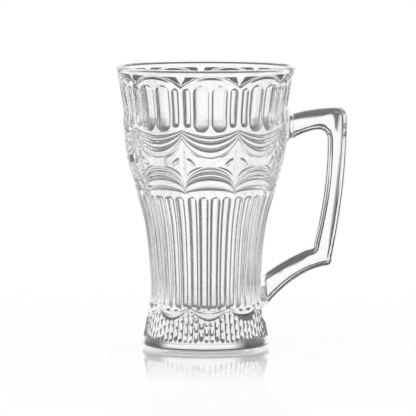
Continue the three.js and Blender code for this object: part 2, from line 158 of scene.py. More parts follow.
gap_edge = half_screen - GAP_HALF_WIDTH
edges = {}
for name, value, start, end, before in (
    ("gap side", from_screen, gap_edge - GAP_SOFTNESS, gap_edge, 0),
    ("gap foot", up, *GAP_FOOT, 0),
    ("ceiling gap foot", up, CEILING_GAP[0], CEILING_GAP[0] + CEILING_SOFTNESS, 0),
    ("ceiling gap top", up, CEILING_GAP[1] - CEILING_SOFTNESS, CEILING_GAP[1], 1),
    ("card side", from_behind, CARD_HALF_WIDTH, CARD_HALF_WIDTH + CARD_SOFTNESS, 1),
    ("card foot", up, *CARD_FOOT, 0),
    ("card top", up, *CARD_TOP, 1),
):
    edges[name] = add_node(tree, "ShaderNodeMapRange", {
        "Value": value, "From Min": start, "From Max": end, "To Min": before, "To Max": 1 - before,
    }, interpolation_type="SMOOTHSTEP").outputs[0]
areas = []
for first, *others in (
    ("ceiling gap foot", "ceiling gap top"),
    ("gap side", "gap foot", "ceiling gap top"),
    ("card side", "card foot", "card top"),
):
    area = edges[first]
    for other in others:
        area = add_node(tree, "ShaderNodeMath", {0: area, 1: edges[other]}, operation="MULTIPLY").outputs[0]
    areas.append(area)
print(len(areas), "kinds of dark area from", len(edges), "soft edges")

# %% [markdown]
# Only light that has passed through glass sees the dark areas. The camera itself, the matt table and plain
# reflections see an even white, as in a product picture on a white page, so the lines in the glass are all that
# is drawn.

# %% Colours of the studio
CEILING_COLOUR = linear("505154")
GAP_COLOUR = linear("2C2D30")
CARD_COLOUR = linear("58595B")

rays = add_node(tree, "ShaderNodeLightPath").outputs
even = add_node(tree, "ShaderNodeMath", {
    0: 1.0, 1: rays["Is Transmission Ray"],
}, operation="SUBTRACT").outputs[0]
shown = WHITE
for area, colour in zip((*areas, even), (CEILING_COLOUR, GAP_COLOUR, CARD_COLOUR, WHITE)):
    shown = add_node(tree, "ShaderNodeMix", {
        MIX_FACTOR: area, MIX_A: shown, MIX_B: colour,
    }, data_type="RGBA").outputs[MIX_RESULT]
background = add_node(tree, "ShaderNodeBackground", {"Color": shown})
add_node(tree, "ShaderNodeOutputWorld", {"Surface": background.outputs[0]})
print("Darkest in the studio, linear:", [round(part, 3) for part in GAP_COLOUR[:3]])

# %% [markdown]
# The table is a plain white sheet. A disc is enough, because its edge melts into the white of the studio. It
# lies a fraction of a millimetre under the mug, as glass never quite touches what it stands on.

# %% Table
TABLE_RADIUS = 0.4
TABLE_EDGES = 96
TABLE_DROP = 0.3 * MM

sheet = bmesh.new()
bmesh.ops.create_circle(sheet, cap_ends=True, segments=TABLE_EDGES, radius=TABLE_RADIUS)
bmesh.ops.translate(sheet, verts=sheet.verts, vec=(0, 0, -TABLE_DROP))
table_mesh = bpy.data.meshes.new("table")
sheet.to_mesh(table_mesh)
sheet.free()
table = bpy.data.objects.new("table", table_mesh)
scene.collection.objects.link(table)
table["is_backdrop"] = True
print("Table", 2 * TABLE_RADIUS, "m across")

# %% [markdown]
# Cast acrylic is matt white in itself, with enough gloss to hold a faint reflection of the foot. The reflection
# in the photograph fades away from the mug, so the gloss does too. Part of the white is a glow, which keeps the
# shadow faint. Light that has passed through the mug goes on through the table into the studio, because the
# slopes that look down would otherwise see nothing but more white.

# %% Cast acrylic
GLOSS_NEAR, GLOSS_FAR = 0.6, 0.04  # share of mirror reflection close to the mug and away from it
GLOSS_FROM, GLOSS_TO = 26 * MM, 150 * MM
MIRROR_ROUGHNESS = 0.06
TABLE_GLOW = 0.7  # share of the table's white that no shadow takes away
SHEET_WHITE = linear("FEFEFE")

acrylic = bpy.data.materials.new("white cast acrylic sheet")
acrylic.use_nodes = True
tree = acrylic.node_tree
tree.nodes.clear()
rays = add_node(tree, "ShaderNodeLightPath").outputs
shaded = add_node(tree, "ShaderNodeBsdfDiffuse", {"Color": SHEET_WHITE})
bright = add_node(tree, "ShaderNodeEmission", {"Color": WHITE, "Strength": 1.0})
seen = add_node(tree, "ShaderNodeMath", {0: 1.0, 1: rays["Is Diffuse Ray"]}, operation="SUBTRACT").outputs[0]
glow = add_node(tree, "ShaderNodeMath", {0: seen, 1: TABLE_GLOW}, operation="MULTIPLY").outputs[0]
white = add_node(tree, "ShaderNodeMixShader", {0: glow, 1: shaded.outputs[0], 2: bright.outputs[0]})
spot = add_node(tree, "ShaderNodeTexCoord").outputs["Object"]
from_mug = add_node(tree, "ShaderNodeVectorMath", {0: spot}, operation="LENGTH").outputs["Value"]
gloss = add_node(tree, "ShaderNodeMapRange", {
    "Value": from_mug, "From Min": GLOSS_FROM, "From Max": GLOSS_TO, "To Min": GLOSS_NEAR, "To Max": GLOSS_FAR,
}, interpolation_type="SMOOTHSTEP").outputs[0]
mirror = add_node(tree, "ShaderNodeBsdfGlossy", {"Color": WHITE, "Roughness": MIRROR_ROUGHNESS})
polished = add_node(tree, "ShaderNodeMixShader", {0: gloss, 1: white.outputs[0], 2: mirror.outputs[0]})
clear = add_node(tree, "ShaderNodeBsdfTransparent")
surface = add_node(tree, "ShaderNodeMixShader", {
    0: rays["Is Transmission Ray"], 1: polished.outputs[0], 2: clear.outputs[0],
})
add_node(tree, "ShaderNodeOutputMaterial", {"Surface": surface.outputs[0]})
table_mesh.materials.append(acrylic)
print("Mirror share of the table", GLOSS_NEAR, "at the foot and", GLOSS_FAR, "away from it")

# %% [markdown]
# The glass is soda-lime, pressed in an iron mould and fire-polished: colourless, with an index of about 1.52.
# The fire leaves the skin glossy but not perfect. Slow waves a few millimetres long stay in it from the mould,
# and they are what makes the lines inside real pressed glass waver. A very fine breath of roughness stays in
# patches too. Both are too faint to see by themselves, and are drawn a little stronger than life. Thick places
# have a very faint grey-green cast, which comes from the volume.

# %% Pressed glass
GLASS_INDEX = 1.52
MOULD_WAVE, MOULD_WAVE_DEPTH = 7 * MM, 0.02 * MM
POLISH_PATCH = 3 * MM
PATCH_FROM, PATCH_TO = 0.35, 0.75  # values of the noise between which the roughness rises
DULLEST = 0.02
FAINT_CAST = linear("FCFDFD")
THICK_CAST, CAST_DENSITY = linear("B8BFBE"), 5.0  # glass 11 mm thick keeps 97 parts of the light in 100

glass = bpy.data.materials.new("pressed clear soda-lime glass")
glass.use_nodes = True
tree = glass.node_tree
surface = tree.nodes["Principled BSDF"]
surface.inputs["Transmission Weight"].default_value = 1.0
surface.inputs["IOR"].default_value = GLASS_INDEX
place = add_node(tree, "ShaderNodeTexCoord").outputs["Object"]
waves = add_node(tree, "ShaderNodeTexNoise", {"Vector": place, "Scale": 1 / MOULD_WAVE, "Detail": 1.0})
skin = add_node(tree, "ShaderNodeBump", {
    "Height": waves.outputs[0], "Distance": MOULD_WAVE_DEPTH, "Strength": 1.0,
})
tree.links.new(skin.outputs[0], surface.inputs["Normal"])
patches = add_node(tree, "ShaderNodeTexNoise", {"Vector": place, "Scale": 1 / POLISH_PATCH, "Detail": 2.0})
polish = add_node(tree, "ShaderNodeMapRange", {
    "Value": patches.outputs[0], "From Min": PATCH_FROM, "From Max": PATCH_TO, "To Min": 0.0, "To Max": DULLEST,
})
tree.links.new(polish.outputs[0], surface.inputs["Roughness"])
cast = add_node(tree, "ShaderNodeMix", {
    MIX_FACTOR: waves.outputs[0], MIX_A: WHITE, MIX_B: FAINT_CAST,
}, data_type="RGBA")
tree.links.new(cast.outputs[MIX_RESULT], surface.inputs["Base Color"])
depth = add_node(tree, "ShaderNodeVolumeAbsorption", {"Color": THICK_CAST, "Density": CAST_DENSITY})
tree.links.new(depth.outputs[0], tree.nodes["Material Output"].inputs["Volume"])
print("Glass index", GLASS_INDEX)

# %% [markdown]
# Seen through the near wall, the far wall would cross each line of the pattern with another. In the photograph
# it hardly shows. So only the near wall bends light in full: two surfaces where the mug is hollow, and one at
# the solid foot. A ray counts the surfaces that it has passed as its Transmission Depth, and beyond those the
# glass lets most of the light straight through, by its Alpha. A slanting path through moulded glass meets many
# surfaces, so rays may bounce more often than Blender lets them at first.

# %% Far wall
FAR_WALL_CLEAR, FAR_FOOT_CLEAR = 0.88, 0.92  # shares of the light that go straight through
SOLID_FOOT = 15.5 * MM
PAST_ONE = 0.5  # a count of surfaces over this is one or more, and over this plus one is two or more
GLASS_BOUNCES = 24

rays = add_node(tree, "ShaderNodeLightPath").outputs
height = add_node(tree, "ShaderNodeSeparateXYZ", {"Vector": place}).outputs["Z"]
hollow = add_node(tree, "ShaderNodeMath", {0: height, 1: SOLID_FOOT}, operation="GREATER_THAN").outputs[0]
near_wall = add_node(tree, "ShaderNodeMath", {0: hollow, 1: PAST_ONE}, operation="ADD").outputs[0]
far_wall = add_node(tree, "ShaderNodeMath", {
    0: rays["Transmission Depth"], 1: near_wall,
}, operation="GREATER_THAN").outputs[0]
clear_share = add_node(tree, "ShaderNodeMapRange", {
    "Value": hollow, "To Min": FAR_FOOT_CLEAR, "To Max": FAR_WALL_CLEAR,
}).outputs[0]
clear_share = add_node(tree, "ShaderNodeMath", {0: far_wall, 1: clear_share}, operation="MULTIPLY").outputs[0]
solid_share = add_node(tree, "ShaderNodeMath", {0: 1.0, 1: clear_share}, operation="SUBTRACT").outputs[0]
tree.links.new(solid_share, surface.inputs["Alpha"])
scene.cycles.max_bounces = GLASS_BOUNCES
scene.cycles.transmission_bounces = GLASS_BOUNCES
scene.cycles.glossy_bounces = GLASS_BOUNCES
print("Far wall", FAR_WALL_CLEAR, "clear, far side of the foot", FAR_FOOT_CLEAR)

# %% [markdown]
# The body starts as a plain turned form, the shape of the mould's cavity before its pattern was cut. Its wall
# is one smooth curve through a few heights and radii, and the inside is another. The curve is the same as the
# CAD model's, so the two fit each other.

# %% Curve of the wall, in millimetres
HEEL = 2.6
RIB_FOOT, RIB_TOP, FOOT_SWAG = 4.4, 13.2, 19.5
SHOULDER, ARCH_TOP, SWAG_BOTTOM, BELLY = 69.4, 82.0, 86.2, 98.5
CUSP, CROWN, LIP = 116.9, 122.3, 125.0
LIP_ROUNDING = 1.35
LIP_SIDE = LIP - LIP_ROUNDING
FOOT_RADIUS, LIP_RADIUS = 28.5, 39.9
FLOOR, FLOOR_FILLET, FLOOR_RADIUS = 15.0, 5.0, 19.8

OUTSIDE = (  # heights and radii
    (HEEL, FOOT_RADIUS), (RIB_FOOT, 27.85), (RIB_TOP, 26.15), (FOOT_SWAG, 24.95), (30.0, 24.65), (55.0, 27.1),
    (SHOULDER, 30.95), (84.1, 35.0), (BELLY, 36.6), (105.5, 36.95), (CUSP, 38.8), (LIP_SIDE, LIP_RADIUS),
)
INSIDE = (
    (FLOOR + FLOOR_FILLET, FLOOR_RADIUS), (30.0, 20.55), (55.0, 23.0), (SHOULDER, 26.85), (84.1, 31.3),
    (BELLY, 33.2), (CUSP, 35.9), (LIP_SIDE, LIP_RADIUS - 2 * LIP_ROUNDING),
)


def curve_through(stations, height):
    """Radius at a height on the smooth curve through some (height, radius) stations."""
    height = min(max(height, stations[0][0]), stations[-1][0])
    above = next(i for i, station in enumerate(stations) if station[0] >= height and i)
    slopes = []
    for i in (above - 1, above):
        under, over = stations[max(i - 1, 0)], stations[min(i + 1, len(stations) - 1)]
        slopes.append((over[1] - under[1]) / (over[0] - under[0]))
    (low, start), (high, end) = stations[above - 1], stations[above]
    t = (height - low) / (high - low)
    rise = t * t * (3 - 2 * t)
    pull = t * (1 - t) * (1 - t) * slopes[0] + t * t * (t - 1) * slopes[1]
    return start + (end - start) * rise + (high - low) * pull


def wall_radius(height):
    return curve_through(OUTSIDE, height)


print("Wall radius at the waist", round(wall_radius(30), 2), "and at the belly", round(wall_radius(BELLY), 2))

# %% [markdown]
# The pattern repeats in nine panels. Seen from the foot up, a panel has a row of short ribs, a small swag, four
# long flutes up the waist, an arch of four hoops, a band of stars, a swag of four hoops, four short flutes and
# a crown. The stars stand on stems where the arches and swags of two panels meet. Each line of the pattern is
# written as a height that changes across the panel, from its middle (0) to its edge (1 or -1). The rings of the
# mesh then run along those lines, so that a ridge stays a clean ridge instead of stepping across a grid.

# %% Lines of the pattern
PANELS = 9
COLUMNS = 48  # in one panel
HALF = COLUMNS // 2
PANEL = 2 * math.pi / PANELS
PANEL_TURN = math.radians(-6.7)
ARCH_GATHER, SWAG_GATHER = 2.1, 3.4  # how far the hoops still spread where they meet at the edge of a panel
SWAG_BOW = 0.85
SWAG_TOP_DIP, SWAG_TOP_RISE, SWAG_TOP_BOW = 1.1, 1.9, 1.5
FOOT_GATHER, FOOT_BOW = 0.7, 1.7
FOOT_TOP_DIP, FOOT_TOP_SAG = 0.2, 2.2
BEVEL_AT_EDGE, BEVEL_AT_MIDDLE = 1.0, 2.0
LIP_FOOT = 122.9


def level(height):
    return lambda t: height


def bulge(t):
    """1 in the middle of a panel, falling to 0 at its edges."""
    return 1 - t * t


def arch_line(t):
    return SHOULDER + ARCH_GATHER + (ARCH_TOP - SHOULDER - ARCH_GATHER) * math.sqrt(max(bulge(t), 0))


def swag_top(t):
    return BELLY - SWAG_TOP_DIP + SWAG_TOP_RISE * abs(t) ** SWAG_TOP_BOW


def swag_line(t):
    return BELLY - SWAG_GATHER - (BELLY - SWAG_BOTTOM - SWAG_GATHER) * max(bulge(t), 0) ** SWAG_BOW


def foot_swag_line(t):
    return FOOT_SWAG - FOOT_GATHER - (FOOT_SWAG - RIB_TOP - FOOT_GATHER) * (1 - abs(t) ** FOOT_BOW)


def foot_swag_top(t):
    return FOOT_SWAG - FOOT_TOP_DIP - FOOT_TOP_SAG * bulge(t)


def crown_line(t):
    return CUSP + (CROWN - CUSP) * bulge(t)


def bevel_foot(t):
    return crown_line(t) - BEVEL_AT_EDGE - (BEVEL_AT_MIDDLE - BEVEL_AT_EDGE) * bulge(t)


print("Arch rises to", arch_line(0), "mm, swag drops to", round(swag_line(0), 1), "mm")

# %% [markdown]
# Between two lines lies a zone with one kind of cut, which is a depth below the plain wall in millimetres. The
# flutes are round-ended scoops with crisp rims, as a cutter leaves them in the mould. A texture could fake them
# from afar, but only real slopes bend the light behind them.

# %% Flutes
RIM_DEPTH, RIM_WIDTH, RIM_BOW = 0.15, 0.5, 1.5  # the crisp edge of a scoop
WAIST_FLUTES = ((1, 11, 17.6, 69.0, 0.37), (13, 22, 18.7, 69.0, 0.37))  # columns, foot, top and hollow
UPPER_FLUTES = ((1, 14, 97.6, 118.4, 0.2), (16, 22, 99.9, 117.0, 0.36))
PANEL_RECESS, RECESS_FADE = 0.8, 8  # the upper flutes lie in a shallow hollow, which starts at the belly


def ease(low, high, value):
    t = min(max((value - low) / (high - low), 0), 1)
    return t * t * (3 - 2 * t)


def rim(distance, width):
    """0 on the edge of a cut, rising steeply and then levelling off to 1 over a width."""
    return 1 - (1 - min(max(distance / width, 0), 1)) ** RIM_BOW


def scoop(side, along, half_width, bowl):
    """Depth in a round-ended scoop, from the distances to its middle line."""
    reach = math.hypot(side, along) / half_width
    edge = RIM_DEPTH * rim((1 - reach) * half_width, RIM_WIDTH)
    return edge + bowl * half_width * max(1 - reach * reach, 0)


def plain(t, share, height):
    return 0


def flute_cut(flutes, t, height):
    radius = wall_radius(height)
    column = abs(t) * HALF
    for first, last, foot, top, bowl in flutes:
        if first < column < last:
            half_width = (last - first) / COLUMNS * PANEL * radius / 2
            side = (column - (first + last) / 2) / COLUMNS * PANEL * radius
            along = max(foot + half_width - height, height - top + half_width, 0)
            return scoop(side, along, half_width, bowl)
    return 0


def waist_cut(t, share, height):
    return flute_cut(WAIST_FLUTES, t, height)


def upper_cut(t, share, height):
    recess = PANEL_RECESS * bulge(t) * ease(BELLY, BELLY + RECESS_FADE, height)
    return flute_cut(UPPER_FLUTES, t, height) + recess


print("Waist flutes", round(max(waist_cut(t / HALF, 0, 45) for t in range(HALF)), 2), "mm deep")

# %% [markdown]
# The ribs on the foot are smaller scoops of the same kind. Their backs swell and shrink in drops, and the drops
# of one rib are out of step with those of the next, which makes the foot sparkle.

# %% Foot ribs
FOOT_RIBS = 4  # in half a panel
RIB_COLUMNS = tuple(
    (rib * HALF // FOOT_RIBS, (rib + 1) * HALF // FOOT_RIBS) for rib in range(FOOT_RIBS)
)
RIB_BOWL, RIB_MARGIN = 0.65, 0.3
RIB_WAVE, RIB_WAVE_PITCH, RIB_SHIFT = 0.5, 4.2, 2.1  # the drops, and the shift from one row to the next


def rib_cut(t, share, height):
    radius = wall_radius(height)
    rib = min(int(abs(t) * FOOT_RIBS), FOOT_RIBS - 1)
    half_width = PANEL * radius / (4 * FOOT_RIBS)
    middle = (rib + 0.5) / FOOT_RIBS
    side = (abs(t) - middle) * PANEL * radius / 2
    top = foot_swag_line(middle) - RIB_MARGIN
    along = max(RIB_FOOT + RIB_MARGIN + half_width - height, height - top + half_width, 0)
    wave = 1 + RIB_WAVE * math.cos(2 * math.pi * (height - RIB_FOOT) / RIB_WAVE_PITCH + RIB_SHIFT * rib)
    return wave * scoop(side, along, half_width, RIB_BOWL)


print(2 * FOOT_RIBS * PANELS, "ribs round the foot")

# %% [markdown]
# Hoops are round-backed ribs with a sharp valley between them. They follow the arch or the swag of their zone,
# draw together at the edge of the panel, and grow shallower towards the level side of the zone, where there is
# no valley. The small swag on the foot is one shallow lens.

# %% Hoops and lens
ARCH_HOOPS = (0, 0.28, 0.65, 0.825, 1)  # edges of the hoops, as shares of the zone's height
SWAG_HOOPS = (0, 0.33, 0.62, 0.82, 1)
HOOP_DEPTH, HOOP_UNDER, HOOP_OVER = 0.66, 0.7, 0.55  # depth of a valley, and the widths of its two slopes
HOOP_SHALLOWEST = 0.45
HOOP_BOWL = 0.14
LENS_DEPTH = 0.6


def hoop_cut(hoops, level_edge, share, spread, full_spread):
    """Round-backed hoops with valleys between them, but none on the level edge of their zone."""
    top = next(i for i, edge in enumerate(hoops) if edge >= share and i)
    low, high = hoops[top - 1], hoops[top]
    over, under = (share - low) * full_spread, (high - share) * full_spread
    half_width = (high - low) * full_spread / 2
    from_back = abs(over - under) / 2
    if low == level_edge:
        over, from_back = full_spread, over / 2
    if high == level_edge:
        under, from_back = full_spread, under / 2
    valley = max(1 - over / HOOP_UNDER, 1 - under / HOOP_OVER, 0)
    valley *= HOOP_SHALLOWEST + (1 - HOOP_SHALLOWEST) * abs(share - level_edge)
    return spread / full_spread * (HOOP_DEPTH * valley + HOOP_BOWL * from_back * from_back / half_width)


def arch_cut(t, share, height):
    return hoop_cut(ARCH_HOOPS, 0, share, arch_line(t) - SHOULDER, ARCH_TOP - SHOULDER)


def swag_cut(t, share, height):
    return hoop_cut(SWAG_HOOPS, 1, share, swag_top(t) - swag_line(t), swag_top(0) - SWAG_BOTTOM)


def lens_cut(t, share, height):
    return LENS_DEPTH * bulge(t) * 4 * share * (1 - share)


print("Valleys of the arch, mm:", [round(arch_cut(0, edge, 0), 2) for edge in ARCH_HOOPS[1:]])

# %% [markdown]
# Between arch and swag the ground is sunk, and a star stands up from it at each edge of the panel: two drooping
# leaves beside a stem of beads. What stands up is simply not cut.

# %% Stars
STAR_DEPTH = 0.6
STAR_HEIGHT = 84.3
LEAF_HEIGHT, LEAF_DROOP, LEAF_STEEPNESS = 86.6, 0.67, 2
LEAF_LENGTH, LEAF_WIDTH, LEAF_FROM_STEM = 5.0, 2.4, 0.9
STEM_HALF_WIDTH = 1.3
BEAD_PITCH, BEAD_BACK, BEAD_SWELL = 1.9, 0.6, 0.4
BEADS_END = (3, 5)  # distances from the star over which the beads fade out along the stem
GROUND_FOOT, GROUND_TOP = (0.02, 0.2), (0.8, 0.98)  # shares of the height over which the ground sinks and rises
GROUND_SIDE = (0.15, 0.5)


def star_cut(t, share, height):
    from_stem = (1 - abs(t)) * PANEL / 2 * wall_radius(height)
    over = height - STAR_HEIGHT
    along = from_stem - LEAF_FROM_STEM - LEAF_LENGTH / 2
    leaf = 1 - (2 * along / LEAF_LENGTH) ** 2
    leaf -= abs(height - LEAF_HEIGHT + LEAF_DROOP * from_stem) / (LEAF_WIDTH / 2)
    swell = BEAD_SWELL * math.cos(2 * math.pi * over / BEAD_PITCH) * (1 - ease(*BEADS_END, abs(over)))
    stem = (BEAD_BACK + swell) * max(1 - (from_stem / STEM_HALF_WIDTH) ** 2, 0)
    raised = max(min(LEAF_STEEPNESS * leaf, 1), stem, 0)
    ground = ease(*GROUND_FOOT, share) * (1 - ease(*GROUND_TOP, share)) * ease(*GROUND_SIDE, abs(t))
    return STAR_DEPTH * ground * (1 - raised)


print("Ground beside a stem", round(star_cut(0.8, 0.5, STAR_HEIGHT), 2), "mm deep")

# %% [markdown]
# Over the short flutes runs the crown, one low arch to a panel. Its bevel brings the hollow of the panel back
# out to the wall. The spandrels above it start with a small step, are deepest where two arches meet, and rise
# to the smooth lip in a curve, because a straight slope there showed as a hard triangle.

# %% Crown
SPANDREL_TOP, SPANDREL_CURVE = 122.8, 0.11
CREASE_FROM, CREASE_FILL = 0.82, 0.65  # the crease between two arches, and how much of it is filled
ARCH_EDGE, ARCH_EDGE_WIDTH, ARCH_EDGE_FADE = 0.3, 0.4, 1.5  # the step above the line of the crown


def bevel_cut(t, share, height):
    return PANEL_RECESS * bulge(t) * (1 - share)


def spandrel_cut(t, share, height):
    crease = 1 - CREASE_FILL * ease(CREASE_FROM, 1, abs(t))
    drop = max(SPANDREL_TOP - height, 0)
    depth = SPANDREL_CURVE * drop * drop * crease
    depth += ARCH_EDGE * min((LIP_FOOT - height) / ARCH_EDGE_FADE, 1)
    return depth * rim(height - crown_line(t), ARCH_EDGE_WIDTH)


print("Spandrel", round(max(spandrel_cut(1, 0, CUSP + i / 10) for i in range(30)), 2), "mm deep")

# %% [markdown]
# Each ring of the mesh is a small function that gives its radius and height at a place in the panel. Where the
# handle is fused on, the wall is smooth, so the cuts fade out there.

# %% Rings as functions
ROOTS = ((89.5, 105.5), (12.0, 35.0))  # heights of the handle's two roots
ROOT_HALF_WIDTH, ROOT_FADE = 6.3, 1.2


def bare(angle, height):
    """0 where the handle covers the wall, 1 clear of it."""
    aside = abs(angle) * wall_radius(height) - ROOT_HALF_WIDTH
    clear = min(max(low - height, height - high) for low, high in ROOTS)
    return ease(0, ROOT_FADE, max(aside, clear))


def turned(radius, height):
    return lambda t, angle: (radius, height)


def moulded(low, high, share, cut):
    def ring(t, angle):
        height = low(t) + share * (high(t) - low(t))
        return wall_radius(height) - cut(t, share, height) * bare(angle, height), height
    return ring


print("Smooth wall at the handle,", 2 * ROOT_HALF_WIDTH, "mm wide")

# %% [markdown]
# An even grid would spend its points on plain glass. So the rings lie closer together at the ends of a zone, and
# their points are drawn towards the rims of the flutes, where the glass curves most.

# %% Spacing of rings and points
DRAW = 0.6  # how strongly points are drawn to the rims
STEM_COLUMNS = ((HALF // 2, HALF),)
JUST_PAST = 0.05
DRAWN = (  # heights in the middle of a panel up to which points are drawn to these columns
    (RIB_TOP + JUST_PAST, RIB_COLUMNS), (SHOULDER + JUST_PAST, WAIST_FLUTES),
    (swag_top(0) - JUST_PAST, STEM_COLUMNS), (math.inf, UPPER_FLUTES),
)


def shares(count):
    return [i / count for i in range(1, count + 1)]


def gather(share):
    """Moves a share towards the nearer end."""
    return 0.5 - 0.5 * math.cos(math.pi * share)


def gathered(count):
    return [gather(share) for share in shares(count)]


def across_hoops(hoops, count):
    return [low + (high - low) * share for low, high in zip(hoops, hoops[1:]) for share in gathered(count)]


def drawn_to_rims(flutes, t):
    """Moves a column of points towards the rim of the flute that it lies in."""
    column = abs(t) * HALF
    for first, last, *rest in flutes:
        if first < column < last:
            share = (column - first) / (last - first)
            column = first + ((1 - DRAW) * share + DRAW * gather(share)) * (last - first)
    return math.copysign(column / HALF, t)


print("Rings across one hoop:", [round(share, 2) for share in gathered(6)])

# %% [markdown]
# The rings are strung on one profile, from the middle of the underside up the outside, over the lip and down to
# the middle of the floor.

# %% Rings of the body
HEEL_STEPS, LIP_STEPS, INSIDE_STEPS, FILLET_STEPS = 6, 10, 18, 6
UNDERSIDE_RINGS, FLOOR_RINGS = (0, 9, 18, FOOT_RADIUS - HEEL), (10, 5, 0)
ZONES = (  # lower line, upper line, places of the rings between them, and cut
    (level(HEEL), level(RIB_FOOT), shares(3), plain),
    (level(RIB_FOOT), foot_swag_line, shares(16), rib_cut),
    (foot_swag_line, foot_swag_top, shares(8), lens_cut),
    (foot_swag_top, level(SHOULDER), gathered(38), waist_cut),
    (level(SHOULDER), arch_line, across_hoops(ARCH_HOOPS, 6), arch_cut),
    (arch_line, swag_line, shares(20), star_cut),
    (swag_line, swag_top, across_hoops(SWAG_HOOPS, 6), swag_cut),
    (swag_top, bevel_foot, gathered(32), upper_cut),
    (bevel_foot, crown_line, shares(4), bevel_cut),
    (crown_line, level(LIP_FOOT), shares(8), spandrel_cut),
)

rings = [turned(radius, 0) for radius in UNDERSIDE_RINGS]
for step in range(1, HEEL_STEPS + 1):
    turn = math.pi / 2 * step / HEEL_STEPS
    rings.append(turned(FOOT_RADIUS - HEEL + HEEL * math.sin(turn), HEEL - HEEL * math.cos(turn)))
for low, high, places, cut in ZONES:
    rings += [moulded(low, high, share, cut) for share in places]
for step in range(LIP_STEPS + 1):
    turn = math.pi * step / LIP_STEPS
    radius = LIP_RADIUS - LIP_ROUNDING + LIP_ROUNDING * math.cos(turn)
    rings.append(turned(radius, LIP_SIDE + LIP_ROUNDING * math.sin(turn)))
for step in range(1, INSIDE_STEPS + 1):
    height = LIP_SIDE + (FLOOR + FLOOR_FILLET - LIP_SIDE) * step / INSIDE_STEPS
    rings.append(turned(curve_through(INSIDE, height), height))
for step in range(1, FILLET_STEPS + 1):
    turn = math.pi / 2 * step / FILLET_STEPS
    radius = FLOOR_RADIUS - FLOOR_FILLET + FLOOR_FILLET * math.cos(turn)
    rings.append(turned(radius, FLOOR + FLOOR_FILLET * (1 - math.sin(turn))))
rings += [turned(radius, FLOOR) for radius in FLOOR_RINGS]
print(len(rings), "rings of", PANELS * COLUMNS, "points")

# %% [markdown]
# Every piece ends in the same way: its faces point outwards and are shaded smooth, it gets the glass, and it
# takes the place of one node of the CAD model.

# %% Finish a piece
def finish_piece(name, shape, node):
    """Makes a mesh of a bmesh, in glass, standing for one CAD node."""
    bmesh.ops.recalc_face_normals(shape, faces=shape.faces)
    for face in shape.faces:
        face.smooth = True
    mesh = bpy.data.meshes.new(name)
    shape.to_mesh(mesh)
    shape.free()
    piece = bpy.data.objects.new(name, mesh)
    scene.collection.objects.link(piece)
    mesh.materials.append(glass)
    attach(piece, "root")
    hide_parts(node)
    return piece


def describe(piece):
    triangles = sum(len(face.vertices) - 2 for face in piece.data.polygons)
    size = [round(side / MM, 1) for side in piece.dimensions]
    print(piece.name, triangles, "triangles,", size, "mm")


print("Every piece is made of", glass.name)

# %% [markdown]
# Spin turns the profile into a closed body. Then every point moves to the place that its ring gives for its own
# spot in the panel, as a sculptor would press the pattern into soft glass. An integer layer on the points
# remembers which ring each one came from.

# %% Body
WELD = 1e-7


def spin(shape, profile, columns):
    """Turns a line of points right round the axis, and closes the seam and the poles."""
    lines = [shape.edges.new(pair) for pair in zip(profile, profile[1:])]
    bmesh.ops.spin(
        shape, geom=profile + lines, axis=(0, 0, 1), cent=(0, 0, 0), dvec=(0, 0, 0),
        angle=2 * math.pi, steps=columns, use_merge=True, use_duplicate=False,
    )
    bmesh.ops.remove_doubles(shape, verts=shape.verts, dist=WELD)


def placed(radius, angle, height):
    """A point in metres, from millimetres and an angle round the axis."""
    return Vector((radius * math.cos(angle), radius * math.sin(angle), height)) * MM


body = bmesh.new()
ring_of = body.verts.layers.int.new("ring")
profile = []
for index, ring in enumerate(rings):
    radius, height = ring(0, PANEL_TURN)
    point = body.verts.new(placed(radius, PANEL_TURN, height))
    point[ring_of] = index
    profile.append(point)
spin(body, profile, PANELS * COLUMNS)
for point in body.verts:
    angle = math.atan2(point.co.y, point.co.x)
    place_in_panel = 2 * (((angle - PANEL_TURN) / PANEL + 0.5) % 1) - 1
    columns = next(columns for top, columns in DRAWN if point.co.z < top * MM)
    drawn = drawn_to_rims(columns, place_in_panel)
    angle += (drawn - place_in_panel) * PANEL / 2
    radius, height = rings[point[ring_of]](drawn, angle)
    point.co = placed(radius, angle, height)
pressed_body = finish_piece("pressed_body", body, "mug_body")
describe(pressed_body)

# %% [markdown]
# The handle is a flat-sided bar, bent from an upper arm round a grip to a slanting lower arm. Its side outline
# is drawn with simple curves, which follow the photograph more closely than a swept section would.

# %% Outline of the handle, in millimetres
UPPER_TOP = ((36.6, 103.0), (45.35, 106.3), (58.0, 106.6))  # distances from the axis and heights
UPPER_CORNER = ((58.0, 106.6), (63.0, 106.6), (63.0, 101.6))
GRIP_OUTSIDE = ((63.0, 101.6), (63.0, 71.2), (56.22, 39.4))
LOWER_CORNER = ((56.22, 39.4), (56.22, 35.8), (52.62, 35.8))
LOWER_UNDER = ((52.62, 35.8), (36.4, 32.35), (22.6, 12.5))
LOWER_TOP = ((24.65, 31.2), (36.4, 39.6), (45.55, 43.2))
LOWER_BEND = ((45.55, 43.2), (48.15, 43.2), (48.15, 45.8))
GRIP_INSIDE = ((48.15, 45.8), (54.52, 71.2), (54.1, 92.5))
UPPER_BEND = ((54.1, 92.5), (54.1, 96.5), (50.1, 96.5))
UPPER_UNDER = ((50.1, 96.5), (45.35, 96.5), (36.6, 91.7))
UPPER_ROOT, LOWER_ROOT = 30.8, 18.15  # distances from the axis at which the bar starts, inside the mug
ARM_STEPS, CORNER_STEPS, GRIP_STEPS = 16, 10, 24


def bend(curve, t):
    """A point on a quadratic curve."""
    return tuple((1 - t) ** 2 * a + 2 * t * (1 - t) * b + t * t * c for a, b, c in zip(*curve))


def along(curve, count):
    return [bend(curve, i / count) for i in range(count)]


